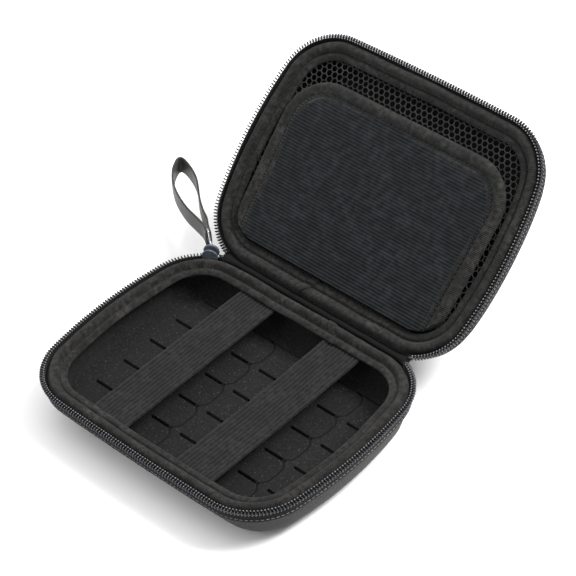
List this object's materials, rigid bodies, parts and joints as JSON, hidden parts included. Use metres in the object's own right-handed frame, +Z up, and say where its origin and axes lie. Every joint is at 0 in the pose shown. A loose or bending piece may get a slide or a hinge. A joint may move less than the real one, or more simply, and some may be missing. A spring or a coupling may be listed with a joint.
{
  "type": "carry case",
  "caption": "Soft-shell zip case lying open: slotted foam tray under elastic straps, lid with a bound panel over a net pocket, zipper with ribbon puller.",
  "frame": {"origin": "on the ground, under the middle of the base tray (where the fore-and-aft and left-right middle planes of the zipper outline meet the resting face)", "axes": "+X along the hinge, to the right when the open lid is behind; +Y from the opening side to the hinge; +Z up"},
  "size_m": [0.2191, 0.2422, 0.1207],
  "materials": {
    "eva_shell": "moulded foam shell faced with fine woven fabric, matt",
    "lining_fabric": "tricot lining, matt",
    "binding": "cross-ribbed grosgrain tape, slight sheen",
    "zipper_tape": "herringbone tape",
    "zipper_coil": "nylon coil, satin",
    "foam": "die-cut closed-cell foam with fine glints",
    "elastic": "lengthwise ribbed elastic",
    "panel_cloth": "ribbed cloth, matt",
    "panel_board": "stiff sheet inside the panel",
    "net": "knitted mesh with oval holes",
    "slider_metal": "dark blue-grey enamel, satin",
    "ring_wire": "bright wire",
    "ribbon": "satin puller ribbon"
  },
  "bodies": {
    "base": {"base_shell": "eva_shell", "base_lining": "lining_fabric", "base_binding": "binding", "base_zipper_tape": "zipper_tape", "base_zipper_coil": "zipper_coil", "base_zipper_stops": "zipper_coil", "foam_backing_sheet": "foam", "foam_slotted_pad": "foam", "elastic_band_left": "elastic", "elastic_band_right": "elastic", "elastic_band_tacks": "elastic", "hinge_spine": "lining_fabric"},
    "lid": {"lid_shell": "eva_shell", "lid_lining": "lining_fabric", "lid_binding": "binding", "lid_zipper_tape": "zipper_tape", "lid_zipper_coil": "zipper_coil", "lid_zipper_stops": "zipper_coil", "lid_net": "net", "lid_net_hem": "elastic", "panel_hinge_tape": "binding"},
    "panel": {"panel_front_cloth": "panel_cloth", "panel_board": "panel_board", "panel_back_cloth": "panel_cloth", "panel_binding": "binding"},
    "slider": {"zipper_slider": "slider_metal"},
    "pull": {"pull_ring": "ring_wire", "puller_ribbon": "ribbon"}
  },
  "joints": [
    {"name": "lid_hinge", "type": "hinge", "parent": "base", "child": "lid", "pos_m": [0, 0.0662, 0.031], "axis": [-1, 0, 0], "range_deg": [-138, 42], "deforming": ["hinge_spine"]},
    {"name": "panel_tilt", "type": "hinge", "parent": "lid", "child": "panel", "pos_m": [0, 0.07657, 0.0398], "axis": [1, 0, 0], "range_deg": [0, 3.2]},
    {"name": "slider_travel", "type": "hinge", "parent": "base", "child": "slider", "pos_m": [-0.0533, 0.034, 0.031], "axis": [0, 0, 1], "range_deg": [0, 42]},
    {"name": "pull_swing", "type": "hinge", "parent": "slider", "child": "pull", "pos_m": [-0.07285, 0.06529, 0.031], "axis": [0, 0, 1], "range_deg": [-10, 40]}
  ]
}
